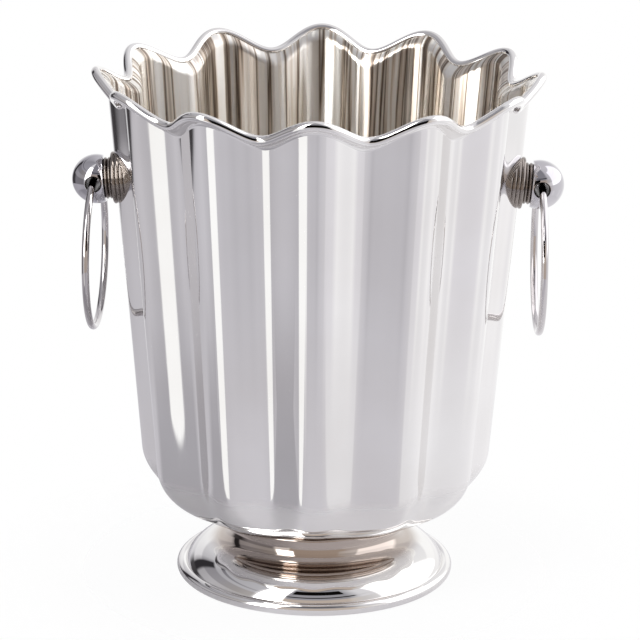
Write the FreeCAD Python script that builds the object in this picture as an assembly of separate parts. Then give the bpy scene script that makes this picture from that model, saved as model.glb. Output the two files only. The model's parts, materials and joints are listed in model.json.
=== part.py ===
import FreeCAD, Part
import math
import os

# A fluted champagne bucket on a pedestal foot, with a ring handle on each side.
# Millimetres, +Z up, origin on the table under the middle of the foot.
# The handles lie on the X axis, and the view of the photograph is from -Y.

V = FreeCAD.Vector
X, Y, Z = V(1, 0, 0), V(0, 1, 0), V(0, 0, 1)
ORIGIN = V(0, 0, 0)

# Rim: a round wire that waves in and out, and up and down, with the lobes
lobe_count = 12
rim_height = 241.5
rim_radius = 100.0
rim_wave_out = 4.6
rim_wave_up = 4.9
rim_wire_diameter = 4.4

# Body: a fluted wall that tapers straight down to a rounded bottom
wall_thickness = 1.5
rim_overhang = 5.8
wall_taper = 14.8
wall_end_height = 61.5
flute_share = 0.048
flare_lean = 62.0
flare_reach = 9.0
floor_radius = 43.0
floor_height = 31.0

# Foot: a spun shell with a neck, a cove and a domed shoulder, on a round bead
foot_thickness = 1.5
foot_seat_radius = 40.5
neck_radius = 38.5
cove_radius = 9.0
cove_floor_height = 15.0
shoulder_radius = 16.5
bead_circle_radius = 64.0
bead_diameter = 6.0
bead_flat_depth = 0.4

# Foot fixing: a bolt through the floor, with its washers and nut
bolt_diameter = 8.0
bolt_hole_diameter = 8.6
bolt_head_diameter = 17.0
bolt_head_height = 4.0
bolt_tip_length = 3.0
bolt_tip_bevel = 0.8
seal_washer_diameter = 22.0
seal_washer_thickness = 1.6
clamp_washer_diameter = 40.0
clamp_washer_thickness = 2.0
spring_washer_diameter = 14.5
spring_washer_thickness = 2.0
spring_washer_slot = 1.6
nut_width = 13.0
nut_height = 6.5
nut_bevel = 0.6

# Handle: base plate, ribbed collar and drilled ball on one axis, square to the wall
handle_drop = 46.4
plate_diameter = 24.8
plate_thickness = 1.7
plate_rib_width = 1.9
plate_groove_depth = 0.6
collar_diameter = 19.8
collar_width = 3.7
collar_rib_count = 2
collar_groove_depth = 0.9
ball_diameter = 23.4
ball_back_depth = 3.9
ring_hole_offset = 0.9
ring_hole_diameter = 7.0
spigot_diameter = 11.0

# Ring: a closed loop of round wire that hangs in the ball's hole
ring_circle_radius = 36.0
ring_wire_diameter = 3.5
ring_rest_drop = 0.75
left_ring_turn = -3.0
right_ring_turn = 1.3

# Handle fixing: a screw from inside the bucket into the ball's spigot
screw_diameter = 5.0
screw_hole_diameter = 5.6
screw_head_diameter = 9.5
screw_head_height = 2.6
screw_head_round = 0.8
screw_end_margin = 0.5
seat_diameter = 12.0
seat_depth = 5.5

# Fits and construction allowances
solder_gap = 0.1
spigot_clearance = 0.05
thread_clearance = 0.05
overrun = 12.0
quarter_count = 4
rim_samples = 10
arc_samples = 12
wall_samples = 8
normal_step_share = 0.0005

handle_height = rim_height - handle_drop
wall_top_radius = rim_radius - rim_overhang
wall_end_radius = wall_top_radius - wall_taper
rim_wire_radius = rim_wire_diameter / 2
bead_radius = bead_diameter / 2
ball_radius = ball_diameter / 2
half_wall = wall_thickness / 2
wall_slope = wall_taper / (rim_height - wall_end_height)
wall_lean = math.degrees(math.atan(wall_slope))
full_turn = 2 * math.pi
right_angle = full_turn / quarter_count
lobes_per_quarter = lobe_count // quarter_count


def ring_wave(angle):
    """The wave that all lobes share: 1 on a crest and -1 in a valley."""
    return math.cos(lobe_count * angle)


def rim_path(angle):
    """Radius and height of the rim wire's centre line."""
    wave = ring_wave(angle)
    return rim_radius + rim_wave_out * wave, rim_height + rim_wave_up * wave


def wall_radius(angle, height):
    """Radius of the middle of the fluted wall, before it flares to the rim."""
    mean = wall_end_radius + wall_slope * (height - wall_end_height)
    return mean * (1 + flute_share * ring_wave(angle))


def wall_edge(angle):
    """Radius and height of the wall's upper edge, which meets the wire from below."""
    radius, height = rim_path(angle)
    swing = -lobe_count * math.sin(lobe_count * angle)
    heading = V(rim_wave_out * swing, radius, rim_wave_up * swing).normalize()
    lean = math.radians(flare_lean)
    away = V(math.sin(lean), 0, math.cos(lean))
    reach = (rim_wire_radius + solder_gap) / away.cross(heading).Length
    return radius - reach * away.x, height - reach * away.z


def upper_wall(angle, share):
    """The wall from its lower end (share 0) through the straight part to the edge (share 2)."""
    edge_radius, edge_height = wall_edge(angle)
    start = edge_height - flare_reach
    if share < 1:
        height = wall_end_height + (start - wall_end_height) * share
    else:
        height = start + flare_reach * (share - 1)
    flare = edge_radius - wall_radius(angle, edge_height)
    length = 2 * flare / (math.tan(math.radians(flare_lean)) - wall_slope)
    near = max(0, 1 - (edge_height - height) / length)
    return wall_radius(angle, height) + flare * near ** 2, height


def lower_wall(angle, share):
    """The rounded bottom: a quarter ellipse from the floor (share -1) to the wall (share 0)."""
    turn = -share * right_angle
    drop = (wall_end_height - floor_height - half_wall) * math.sin(turn)
    width = wall_end_radius - floor_radius
    mean = floor_radius + (width - wall_slope * drop) * math.cos(turn)
    fade = math.cos(turn) ** 2
    return mean * (1 + flute_share * fade * ring_wave(angle)), wall_end_height - drop


def wall_point(angle, share):
    """A point in the middle of the sheet, from the floor (share -1) to the edge (share 2)."""
    radius, height = (lower_wall if share < 0 else upper_wall)(angle, share)
    return V(radius * math.sin(angle), -radius * math.cos(angle), height)


def wall_normal(angle, share):
    """The outward normal of the sheet, from small steps along both parameters."""
    if share <= -1:
        return -Z
    step = normal_step_share
    along = wall_point(angle + step, share) - wall_point(angle - step, share)
    low, high = max(share - step, -1), min(share + step, 2)
    up = wall_point(angle, high) - wall_point(angle, low)
    return along.cross(up).normalize()


def patch(point, angles, shares):
    """A smooth face through a grid of points."""
    surface = Part.BSplineSurface()
    surface.interpolate([[point(angle, share) for share in shares] for angle in angles])
    return surface.toShape()


def spread(low, high, count):
    """Evenly spaced values, both ends included."""
    return [low + (high - low) * i / count for i in range(count + 1)]


def quarter_angles(quarter):
    """Angles of one quarter of the wall, from valley to valley."""
    first = math.pi / lobe_count + quarter * right_angle
    return spread(first, first + right_angle, lobes_per_quarter * rim_samples)


def sheet_side(offset):
    """Four faces of one side of the sheet, offset from its middle along the normal."""
    def point(angle, share):
        return wall_point(angle, share) + wall_normal(angle, share) * offset
    shares = spread(-1, 0, arc_samples)
    shares += spread(0, 1, wall_samples)[1:] + spread(1, 2, wall_samples)[1:]
    return [patch(point, quarter_angles(quarter), shares) for quarter in range(quarter_count)]


def end_edge(face, pick):
    """The face's highest or lowest edge along the wall's length."""
    return pick(face.Edges, key=lambda edge: edge.CenterOfMass.z)


def bucket_body():
    """The fluted sheet: outer and inner side, top edge and floor, closed to one solid."""
    outer, inner = sheet_side(half_wall), sheet_side(-half_wall)
    faces = outer + inner
    for a, b in zip(outer, inner):
        faces.append(Part.makeRuledSurface(end_edge(a, max), end_edge(b, max)))
    for side in (outer, inner):
        faces.append(Part.Face(Part.Wire(Part.__sortEdges__([end_edge(face, min) for face in side]))))
    solid = closed_solid(faces)
    solid = solid.cut(bore(bolt_hole_diameter, Z, wall_thickness, V(0, 0, floor_height)))
    for turn in (0, 180):
        solid = solid.cut(place_handle(bore(screw_hole_diameter, X, wall_thickness), turn))
    return solid


def rod(diameter, start, length, axis, base=ORIGIN):
    """A round bar along an axis, from start on."""
    return Part.makeCylinder(diameter / 2, length, base + axis * start, axis)


def bore(diameter, axis, depth, base=ORIGIN):
    """A round cutter for a hole of some depth, which runs past both of its ends."""
    return rod(diameter, -overrun, overrun + depth + overrun, axis, base)


def crest_point():
    """The point of the right crest, on the outer side of the wall, where the handle sits."""
    outer = wall_radius(0, handle_height) + half_wall / math.cos(math.radians(wall_lean))
    return V(outer, 0, handle_height)


def place_handle(shape, turn):
    """Moves a handle piece from its own axis to the wall, and to the side given by turn."""
    placed = shape.copy()
    placed.rotate(ORIGIN, Y, wall_lean)
    placed.translate(crest_point())
    placed.rotate(ORIGIN, Z, turn)
    return placed


def revolve(outline, axis):
    """A turned solid from the closed outline of half its section."""
    return Part.Face(Part.Wire(Part.__sortEdges__(outline))).revolve(ORIGIN, axis, 360)


def polygon(points):
    """Straight edges through the points, closed."""
    return [Part.LineSegment(a, b).toShape() for a, b in zip(points, points[1:] + points[:1])]


def arc(centre, radius, first, last):
    """An arc in the XZ plane, with angles in degrees from +X towards +Z."""
    def at(angle):
        turn = math.radians(angle)
        return centre + V(radius * math.cos(turn), 0, radius * math.sin(turn))
    return Part.Arc(at(first), at((first + last) / 2), at(last)).toShape()


def line(a, b):
    """A straight edge."""
    return Part.LineSegment(a, b).toShape()


def ends(edge):
    """The first and last point of an edge."""
    return edge.Vertexes[0].Point, edge.Vertexes[-1].Point


def rim_centre(angle):
    """A point on the rim wire's centre line."""
    radius, height = rim_path(angle)
    return V(radius * math.sin(angle), -radius * math.cos(angle), height)


def rim_point(angle, share):
    """A point on the rim wire's skin, with the share of a turn around its section."""
    step = normal_step_share
    heading = rim_centre(angle + step) - rim_centre(angle - step)
    side = heading.cross(Z).normalize()
    up = side.cross(heading).normalize()
    turn = full_turn * share
    return rim_centre(angle) + (side * math.cos(turn) + up * math.sin(turn)) * rim_wire_radius


def rim_wire():
    """The round wire along the closed wave of the mouth, one face for each quarter."""
    around = spread(0, 1, 2 * rim_samples)
    quarters = [quarter_angles(quarter) for quarter in range(quarter_count)]
    return closed_solid([patch(rim_point, angles, around) for angles in quarters])


def closed_solid(faces):
    """One solid from faces that meet edge to edge."""
    shell = Part.makeShell(faces)
    shell.sewShape()
    solid = Part.makeSolid(shell)
    if solid.Volume < 0:
        solid.reverse()
    return solid


def shoulder_end():
    """The angle at which the shoulder's outer arc comes down to the bead."""
    centre = shoulder_centre()
    bead = V(bead_circle_radius, 0, bead_height())
    away = bead - centre
    reach = bead_radius + solder_gap
    cosine = (shoulder_radius ** 2 + away.Length ** 2 - reach ** 2) / (2 * shoulder_radius * away.Length)
    return math.degrees(math.atan2(away.z, away.x) + math.acos(cosine))


def bead_height():
    """Height of the bead's middle, with its flat on the table."""
    return bead_radius - bead_flat_depth


def cove_centre():
    """Centre of the hollow arc between the neck and the shoulder."""
    return V(neck_radius + cove_radius, 0, cove_floor_height + cove_radius)


def shoulder_centre():
    """Centre of the domed arc that goes on from the cove."""
    return V(neck_radius + cove_radius, 0, cove_floor_height - shoulder_radius)


def foot_line(offset, top):
    """One side of the foot's section: neck, cove and shoulder, offset inwards."""
    cove = arc(cove_centre(), cove_radius + offset, 180, 270)
    shoulder = arc(shoulder_centre(), shoulder_radius - offset, 90, shoulder_end())
    neck = line(V(neck_radius - offset, 0, top), ends(cove)[0])
    return neck, cove, shoulder


def foot_shell():
    """The hollow foot, closed on top by the plate that the bolt clamps to the floor."""
    under_plate = floor_height - foot_thickness
    neck, cove, shoulder = foot_line(0, under_plate)
    inner_neck, inner_cove, inner_shoulder = foot_line(foot_thickness, under_plate)
    outline = [neck, cove, shoulder, inner_neck, inner_cove, inner_shoulder]
    outline.append(line(ends(shoulder)[1], ends(inner_shoulder)[1]))
    hole_radius = bolt_hole_diameter / 2
    plate = [
        ends(neck)[0],
        V(foot_seat_radius, 0, under_plate),
        V(foot_seat_radius, 0, floor_height),
        V(hole_radius, 0, floor_height),
        V(hole_radius, 0, under_plate),
        ends(inner_neck)[0],
    ]
    outline += [line(a, b) for a, b in zip(plate, plate[1:])]
    return revolve(outline, Z)


def foot_bead_ring():
    """The round bead, cut flat where it stands."""
    bead = Part.makeTorus(bead_circle_radius, bead_radius, V(0, 0, bead_height()), Z)
    reach = bead_circle_radius + overrun
    return bead.cut(Part.makeCylinder(reach, overrun, V(0, 0, -overrun), Z))


def washer(diameter, thickness, base_height):
    """A flat washer round the bolt, that stands on its base height."""
    base = V(0, 0, base_height)
    return rod(diameter, 0, thickness, Z, base).cut(bore(bolt_hole_diameter, Z, thickness, base))


def floor_top():
    """Height of the bucket's floor on the inside."""
    return floor_height + wall_thickness


def foot_bolt():
    """A bolt with a low domed head inside the bucket and its shank down into the foot."""
    base = floor_top() + seal_washer_thickness
    head_radius = bolt_head_diameter / 2
    dome = (head_radius ** 2 + bolt_head_height ** 2) / (2 * bolt_head_height)
    ball = Part.makeSphere(dome, V(0, 0, base + bolt_head_height - dome))
    head = ball.common(rod(bolt_head_diameter, 0, bolt_head_height, Z, V(0, 0, base)))
    tip = nut_bottom() - bolt_tip_length
    shank = rod(bolt_diameter, 0, base - tip, Z, V(0, 0, tip))
    shank = shank.makeChamfer(bolt_tip_bevel, [end_edge(shank, min)])
    return head.fuse(shank).removeSplitter()


def clamp_bottom():
    """Height of the clamp washer's underside."""
    return floor_height - foot_thickness - clamp_washer_thickness


def nut_top():
    """Height of the nut's top, below the spring washer."""
    return clamp_bottom() - spring_washer_thickness


def nut_bottom():
    """Height of the nut's underside."""
    return nut_top() - nut_height


def seal_washer():
    """The soft washer between the bolt's head and the floor."""
    return washer(seal_washer_diameter, seal_washer_thickness, floor_top())


def clamp_washer():
    """The wide washer under the foot's top plate."""
    return washer(clamp_washer_diameter, clamp_washer_thickness, clamp_bottom())


def spring_washer():
    """A split washer, with its slot on the right."""
    whole = washer(spring_washer_diameter, spring_washer_thickness, nut_top())
    slot = Part.makeBox(
        spring_washer_diameter, spring_washer_slot, spring_washer_thickness,
        V(0, -spring_washer_slot / 2, nut_top()))
    return whole.cut(slot)


def foot_nut():
    """A hexagon nut with bevelled corners."""
    corner = nut_width / math.sqrt(3)
    points = []
    for i in range(6):
        turn = full_turn * i / 6
        points.append(V(corner * math.cos(turn), corner * math.sin(turn), nut_bottom()))
    hexagon = Part.Face(Part.Wire(polygon(points))).extrude(V(0, 0, nut_height))
    base = V(0, 0, nut_bottom())
    cone_top = Part.makeCone(corner + nut_height, corner - nut_bevel, nut_height, base, Z)
    nut = hexagon.common(cone_top)
    thread = bolt_diameter + 2 * thread_clearance
    return nut.cut(bore(thread, Z, nut_height, base))


def collar_start():
    """Distance of the collar's back from the wall, along the handle's axis."""
    return plate_thickness


def ball_back():
    """Distance of the ball's flat back from the wall."""
    return plate_thickness + collar_width


def ball_centre():
    """Distance of the ball's centre from the wall."""
    return ball_back() + ball_back_depth


def outermost(shape, sign):
    """The solid of a cut shape that lies furthest out or in along the handle's axis."""
    return max(shape.Solids, key=lambda solid: sign * solid.CenterOfMass.x)


def ribbed_ring(start, width, count, diameter, groove_depth, hole_diameter):
    """A turned ring about the handle's axis, with rounded ribs side by side."""
    top, hole = diameter / 2, hole_diameter / 2
    corners = [V(start + i * width, 0, top - groove_depth) for i in range(count + 1)]
    outline = []
    for a, b in zip(corners, corners[1:]):
        crown = (a + b) / 2 + Z * groove_depth
        outline.append(Part.Arc(a, crown, b).toShape())
    low_end, low_start = V(corners[-1].x, 0, hole), V(start, 0, hole)
    outline += [line(corners[-1], low_end), line(low_end, low_start), line(low_start, corners[0])]
    return revolve(outline, X)


def lobe_depth():
    """How far the valleys of the wall lie behind its crests, at the height of the handles."""
    return wall_radius(0, handle_height) - wall_radius(math.pi / lobe_count, handle_height)


def base_plate(body):
    """A round base with turned ribs, hollowed at the back by the lobe that it sits on."""
    rib_count = math.ceil((plate_thickness + lobe_depth()) / plate_rib_width)
    boss = ribbed_ring(
        plate_thickness - rib_count * plate_rib_width, plate_rib_width, rib_count,
        plate_diameter, plate_groove_depth, screw_hole_diameter)
    return outermost(place_handle(boss, 0).cut(body), 1)


def collar():
    """A turned ring with rounded ribs, bored for the spigot."""
    return ribbed_ring(
        collar_start(), collar_width / collar_rib_count, collar_rib_count,
        collar_diameter, collar_groove_depth, spigot_diameter + 2 * spigot_clearance)


def knob():
    """The ball with its flat back, spigot, cross hole for the ring and screw hole."""
    centre = V(ball_centre(), 0, 0)
    ball = Part.makeSphere(ball_radius, centre)
    ball = ball.common(rod(ball_diameter + overrun, ball_back(), ball_diameter, X))
    spigot = rod(spigot_diameter, collar_start(), ball_centre() - collar_start(), X)
    knob_solid = ball.fuse(spigot).removeSplitter()
    hole_start = centre + X * ring_hole_offset - Y * ball_radius
    knob_solid = knob_solid.cut(bore(ring_hole_diameter, Y, ball_diameter, hole_start))
    thread = rod(screw_diameter + 2 * thread_clearance, 0, thread_depth(), X, V(collar_start(), 0, 0))
    return knob_solid.cut(thread)


def thread_depth():
    """Depth of the screw's thread, which ends short of the ring's hole."""
    ring_hole_side = ball_centre() + ring_hole_offset - ring_hole_diameter / 2
    return ring_hole_side - screw_end_margin - collar_start()


def seat_back():
    """Place of the seat washer's flat back, inside the wall."""
    return -wall_thickness - seat_depth


def seat_washer(body):
    """A washer inside the bucket, flat for the screw head and rounded to fill the lobe."""
    bar = rod(seat_diameter, seat_back(), overrun - seat_back(), X)
    bar = bar.cut(bore(screw_hole_diameter, X, overrun - seat_back(), V(seat_back(), 0, 0)))
    return outermost(place_handle(bar, 0).cut(body), -1)


def screw():
    """A pan-head screw, with its head inside the bucket."""
    head_start = seat_back() - screw_head_height
    head = rod(screw_head_diameter, head_start, screw_head_height, X)
    head = head.makeFillet(screw_head_round, [min(head.Edges, key=lambda edge: edge.CenterOfMass.x)])
    length = collar_start() + thread_depth() - screw_end_margin - seat_back()
    shank = rod(screw_diameter, seat_back(), length, X)
    return head.fuse(shank).removeSplitter()


def hole_point():
    """The middle of the right ball's cross hole, in place on the bucket."""
    marker = Part.Vertex(V(ball_centre() + ring_hole_offset, 0, 0))
    return place_handle(marker, 0).Point


def ring(yaw):
    """The wire ring, hanging in the cross hole and turned a little about the vertical."""
    centre = hole_point() + V(0, 0, ring_rest_drop - ring_circle_radius)
    loop = Part.makeTorus(ring_circle_radius, ring_wire_diameter / 2, centre, X)
    loop.rotate(hole_point(), Z, yaw)
    return loop


def turned(shape, turn):
    """A copy turned about the bucket's axis."""
    copy = shape.copy()
    copy.rotate(ORIGIN, Z, turn)
    return copy


def handle_nodes(side, turn, yaw, body):
    """All pieces of one handle, by name."""
    pieces = {"base_plate": base_plate(body), "seat_washer": seat_washer(body), "ring": ring(yaw)}
    nodes = {side + "_" + name: turned(shape, turn) for name, shape in pieces.items()}
    for name, shape in (("collar", collar()), ("knob", knob()), ("screw", screw())):
        nodes[side + "_" + name] = place_handle(shape, turn)
    return nodes


def all_nodes():
    """Every piece of the bucket, by name."""
    body = bucket_body()
    nodes = {
        "bucket_body": body,
        "rim_wire": rim_wire(),
        "foot_shell": foot_shell(),
        "foot_bead_ring": foot_bead_ring(),
        "foot_bolt": foot_bolt(),
        "seal_washer": seal_washer(),
        "clamp_washer": clamp_washer(),
        "spring_washer": spring_washer(),
        "foot_nut": foot_nut(),
    }
    nodes.update(handle_nodes("right", 0, right_ring_turn, body))
    nodes.update(handle_nodes("left", 180, left_ring_turn, body))
    return nodes


os.makedirs("parts", exist_ok=True)
for name, shape in all_nodes().items():
    shape.exportStep("parts/" + name + ".step")
    print(name, "solids", len(shape.Solids), "valid", shape.isValid(), "volume", round(shape.Volume, 1))
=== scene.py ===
import bmesh
import bpy
import json
import numpy as np
from mathutils import Matrix


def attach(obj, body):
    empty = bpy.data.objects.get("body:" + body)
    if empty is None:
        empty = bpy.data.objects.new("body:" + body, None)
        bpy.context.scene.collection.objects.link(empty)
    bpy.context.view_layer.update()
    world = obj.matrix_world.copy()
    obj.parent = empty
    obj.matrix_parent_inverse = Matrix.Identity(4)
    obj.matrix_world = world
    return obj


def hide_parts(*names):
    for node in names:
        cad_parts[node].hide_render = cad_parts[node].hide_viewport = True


# A fluted, silver-plated champagne bucket on a pedestal foot, with a ring handle on each side.
# Metres, +Z up, origin on the table under the middle of the foot.
# The handles lie on the X axis, and the photograph is taken from -Y.

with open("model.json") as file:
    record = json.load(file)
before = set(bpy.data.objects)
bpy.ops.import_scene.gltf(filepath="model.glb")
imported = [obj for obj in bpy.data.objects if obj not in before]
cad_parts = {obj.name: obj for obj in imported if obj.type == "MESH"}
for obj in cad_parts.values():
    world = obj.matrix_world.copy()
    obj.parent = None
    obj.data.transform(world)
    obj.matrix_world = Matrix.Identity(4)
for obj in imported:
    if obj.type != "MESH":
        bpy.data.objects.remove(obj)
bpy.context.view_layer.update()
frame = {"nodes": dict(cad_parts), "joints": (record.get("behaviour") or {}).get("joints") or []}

# Rim and body
lobe_count = 12
rim_height = 0.2415
rim_radius = 0.100
rim_wave_out = 0.0046
rim_wave_up = 0.0049
rim_wire_radius = 0.0022
half_wall = 0.00075
wall_top_radius = 0.0942
wall_end_radius = 0.0794
wall_end_height = 0.0615
flute_share = 0.048
flare_lean = np.radians(62.0)
flare_reach = 0.009
floor_radius = 0.043
floor_height = 0.031
wall_slope = (wall_top_radius - wall_end_radius) / (rim_height - wall_end_height)
solder_depth_share = 0.6

# Foot
foot_thickness = 0.0015
foot_seat_radius = 0.0405
neck_radius = 0.0385
cove_radius = 0.009
cove_floor_height = 0.015
shoulder_radius = 0.0165
bead_circle_radius = 0.064
bead_radius = 0.003
bead_height = 0.0026

# Bolt through the floor
bolt_hole_radius = 0.0043
bolt_radius = 0.004
bolt_head_radius = 0.0085
bolt_head_height = 0.004
bolt_tip_height = 0.016
seal_washer_radius = 0.011
seal_washer_thickness = 0.0016

# Handle
handle_height = 0.1951
plate_radius = 0.0124
plate_thickness = 0.0017
plate_rib_width = 0.0019
plate_groove_depth = 0.0006
seat_overlap = 0.0002
collar_radius = 0.0099
collar_width = 0.0037
collar_rib_count = 2
collar_groove_depth = 0.0009
rib_power = 0.75
ball_radius = 0.0117
ball_back_depth = 0.0039
ball_edge_softness = 0.00025
ring_hole_offset = 0.0009
ring_hole_radius = 0.0035
ring_hole_lip = 0.0005
spigot_radius = 0.0055
ring_circle_radius = 0.036
ring_wire_radius = 0.00175
ring_rest_drop = 0.00075
ring_turns = {"right": np.radians(1.3), "left": np.radians(-3.0)}

# Finish: widths and depths of the marks that the work leaves, the finest drawn as coarse as they show, and
# the colours of painted reflections and painted shade
flute_line_share = 0.03
noise_low, noise_high = 0.3, 0.7
noise_bumps_per_cell = 0.5
hairline_width = 0.0008
hairline_depth = 4e-7
mop_wave_width = 0.016
tarnish_width = 0.03
level_line_width = 0.0006
level_line_share = 0.02
level_line_depth = 3e-6
streak_width = 0.0045
streak_line_share = 0.02
draw_wave_width = 0.006
draw_wave_height = 1.6e-3
inner_shine = (0.3, 0.38)
# Painted reflections inside the bowl: cream highlight streaks and dark brown streaks
streaks = (
    (0.25, "#75665A"), (0.33, "#F3EADF"), (0.37, "#FFFCF6"), (0.41, "#DDCFC0"), (0.44, "#6D5E52"),
    (0.47, "#F6EFE4"), (0.5, "#FFFDF9"), (0.56, "#FFFCF5"), (0.58, "#D9CBBB"), (0.61, "#6B5C50"),
    (0.65, "#F5EDE1"), (0.72, "#B0A192"))
floor_satin_start = 0.066
floor_satin_end = 0.03
floor_film = "#D6CABD"
# Painted shade in the cove and on the neck of the foot
recess_shade_start = 0.053
recess_shade_end = 0.045
recess_shade_colour = "#BBB0A8"
# Painted shade in the grooves of the handle's ribs
groove_shade_start = collar_radius - collar_groove_depth / 3
groove_shade_end = collar_radius - collar_groove_depth
groove_shade_colour = "#5A4E46"
lathe_line_width = 0.0005
lathe_line_depth = 2e-6
lathe_shine_spread = 0.06
rubber_bloom_width = 0.004
rubber_grain_width = 0.0004
rubber_grain_depth = 1e-5
rubber_colours = ("#181717", "#2B2A29")
rubber_shine = (0.6, 0.8)

# Camera, fitted to the rim, the foot and the balls of the photograph
object_turn = np.radians(0.87)
camera_distance = 1.6
camera_rise = np.radians(12.8645)
camera_yaw = np.radians(0.06)
camera_pitch = np.radians(16.83)
camera_roll = np.radians(0.556)
focal_pixels = 3402.7
image_pixels = 640
sensor_width = 36.0

# Studio
table_radius = 0.18
table_fade_start = 0.09
table_camera_share = 0.93
table_glossy_share = 0.75
table_colour = "#F2F2F3"
plain_white = "#FFFFFF"
black_card_colour = "#0E0D0D"
cards_radius = 3.0
cards_strength = 1.07
front_card_radius = 0.22
front_card_sides = (-20.0, 30.0)
front_card_heights = (0.212, 0.33)
# The cards' colours by azimuth in degrees, 0 towards the camera and positive to the right, in belts
# by elevation in degrees: each belt takes over from the last between its two elevations.
lamp_gain = 5.0
lamp_heights = (6.0, 9.0, 60.0, 64.0)
lamps = (
    (-180, "#000000"), (-55, "#000000"), (-53, "#FFFFFF"), (-30, "#FFFFFF"), (-28, "#000000"),
    (62, "#000000"), (66, "#808080"), (135, "#808080"), (145, "#000000"), (180, "#000000"))
deep_cards = (
    (-180, "#D9D8DC"), (-150, "#A3A1A7"), (-112, "#96949A"), (-70, "#96949A"), (-50, "#9C9AA0"),
    (-30, "#B0AEB4"), (-20, "#C8C6CC"), (0, "#C8C6CC"), (50, "#CDCBD0"), (62, "#DAD9DD"),
    (70, "#E3E2E5"), (105, "#E2E1E4"), (140, "#E6E5E8"), (180, "#D9D8DC"))
low_cards = (
    (-180, "#FFFFFF"), (-158, "#F0EFF1"), (-150, "#BDBBC1"), (-130, "#BBB9BF"), (-100, "#C6C4CA"),
    (-85, "#C8C6CC"), (-70, "#C1BFC5"), (-55, "#BAB8BE"), (-53.5, "#FFFFFF"), (-29, "#FFFFFF"),
    (-27, "#C5C3C9"), (-10, "#C1BFC5"), (0, "#C1BFC5"), (10, "#BBB9BF"), (20, "#C7C5CB"),
    (37, "#CFCDD2"), (40, "#DBD9DE"), (60, "#E0DEE3"), (69, "#F3F2F4"), (80, "#E8E7EA"),
    (95, "#EBEAED"), (110, "#F8F7F9"), (122, "#EFEEF1"), (150, "#FFFFFF"), (180, "#FFFFFF"))
near_ground_greys = (
    (-180, "#E6E5E8"), (-140, "#C6C4CA"), (-100, "#C4C2C8"), (-84, "#A7A5AB"), (-38, "#A8A6AC"),
    (-31, "#C6C4CA"), (-10, "#CCCAD0"), (24, "#CDCBD1"), (35, "#D2D0D5"), (39, "#E4E3E6"),
    (60, "#E7E6E9"), (90, "#EDECEF"), (115, "#F3F2F4"), (180, "#E6E5E8"))
near_ground_start = 0.2
near_ground_end = 0.5
near_ground_drop = 0.0005
near_line_slope = 0.1
near_line_place = -0.1395
near_line_softness = 0.004
window_sides = (-54.5, -28.0)
room_cards = (
    (-180, "#FFFFFF"), (-150, "#D0CFD3"), (-140, "#4A484B"), (-122, "#3A383A"), (-105, "#8E8C91"),
    (-60, "#8A878A"), (-54, "#FFFFFF"), (-35, "#FFFFFF"), (-33, "#BFB2A8"), (40, "#C4B8AE"),
    (48, "#CFCACA"), (70, "#E6E5E8"), (180, "#FFFFFF"))
slot_cards = (
    (-180, "#FFFFFF"), (-145, "#DAD9DC"), (-139, "#A5A3A7"), (-137, "#2F2D30"), (-127, "#2F2D30"),
    (-123, "#A5A3A7"), (-100, "#B4B2B6"), (-75, "#B0ADAE"), (-58, "#B5B2B1"), (-55, "#FFFFFF"),
    (-29, "#FFFFFF"), (-27, "#BFB2A8"), (33, "#C4B8AE"), (37, "#D9D4D0"), (58, "#F2F1F2"),
    (110, "#F4F3F5"), (150, "#FFFFFF"), (180, "#FFFFFF"))
middle_cards = (
    (-180, "#E4E3E6"), (-145, "#BCBBBF"), (-139, "#8E8C91"), (-137, "#2F2D30"), (-127, "#2F2D30"),
    (-123, "#8C8A8F"), (-100, "#969499"), (-75, "#9E9A9A"), (-58, "#ABA7A6"), (-54, "#FFFFFF"),
    (-29, "#FFFFFF"), (-27, "#B9ACA2"), (33, "#BFB2A8"), (37, "#C9C1BB"), (50, "#CDCACA"),
    (65, "#DEDDDF"), (120, "#E6E5E8"), (140, "#F2F2F3"), (180, "#E4E3E6"))
bar_cards = (
    (-180, "#DEDDE0"), (-140, "#8E8D92"), (-137, "#2F2D30"), (-127, "#2F2D30"), (-123, "#76747A"),
    (-90, "#8E8D93"), (-60, "#A3A1A5"), (-54, "#FFFFFF"), (-29, "#FFFFFF"), (-27, "#0E0D0D"),
    (42, "#0E0D0D"), (46, "#C9C8CB"), (65, "#DEDDDF"), (120, "#DCDBDE"), (140, "#EBEAEC"),
    (180, "#DEDDE0"))
high_cards = (
    (-180, "#E0DFE2"), (-120, "#A9A8AD"), (-60, "#B7B6BB"), (-54, "#FFFFFF"), (-29, "#FFFFFF"),
    (-26, "#96959B"), (35, "#96959B"), (50, "#DAD9DD"), (120, "#E6E5E8"), (180, "#E0DFE2"))
card_belts = (
    (low_cards, (-34.0, -30.0)), (room_cards, (-14.5, -13.5)), (slot_cards, (6.0, 9.0)),
    (middle_cards, (20.0, 22.0)), (high_cards, (34.0, 36.0)), (bar_cards, (40.0, 40.7)),
    (high_cards, (43.0, 43.7)))

# Grid steps
steps_per_lobe = 40
rim_steps_per_lobe = 48
turned_steps = 192
small_turned_steps = 96
wire_steps = 24
ring_steps = 256
ball_steps = 240
ball_sweep_steps = 150
plate_rib_steps = 90
seat_rounds = 8
step = 1e-4
full_turn = 2 * np.pi
sharp_angle = np.radians(38.0)
merge_distance = 1e-7


def lobe_wave(angle):
    """cos(12 a): 1 on the crest of each lobe and -1 in the valley between two."""
    return np.cos(lobe_count * angle)


def rim_path(angle):
    """Radius and height of the rim wire's centre line, both swinging with the lobe wave."""
    return rim_radius + rim_wave_out * lobe_wave(angle), rim_height + rim_wave_up * lobe_wave(angle)


def wall_radius(angle, height):
    """A straight taper times (1 + share * lobe wave)."""
    taper = wall_end_radius + wall_slope * (height - wall_end_height)
    return taper * (1 + flute_share * lobe_wave(angle))


def wall_edge(angle):
    """The sheet's upper edge: from the wire's middle down along the flare, into the solder."""
    radius, height = rim_path(angle)
    reach = rim_wire_radius * solder_depth_share
    return radius - reach * np.sin(flare_lean), height - reach * np.cos(flare_lean)


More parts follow.
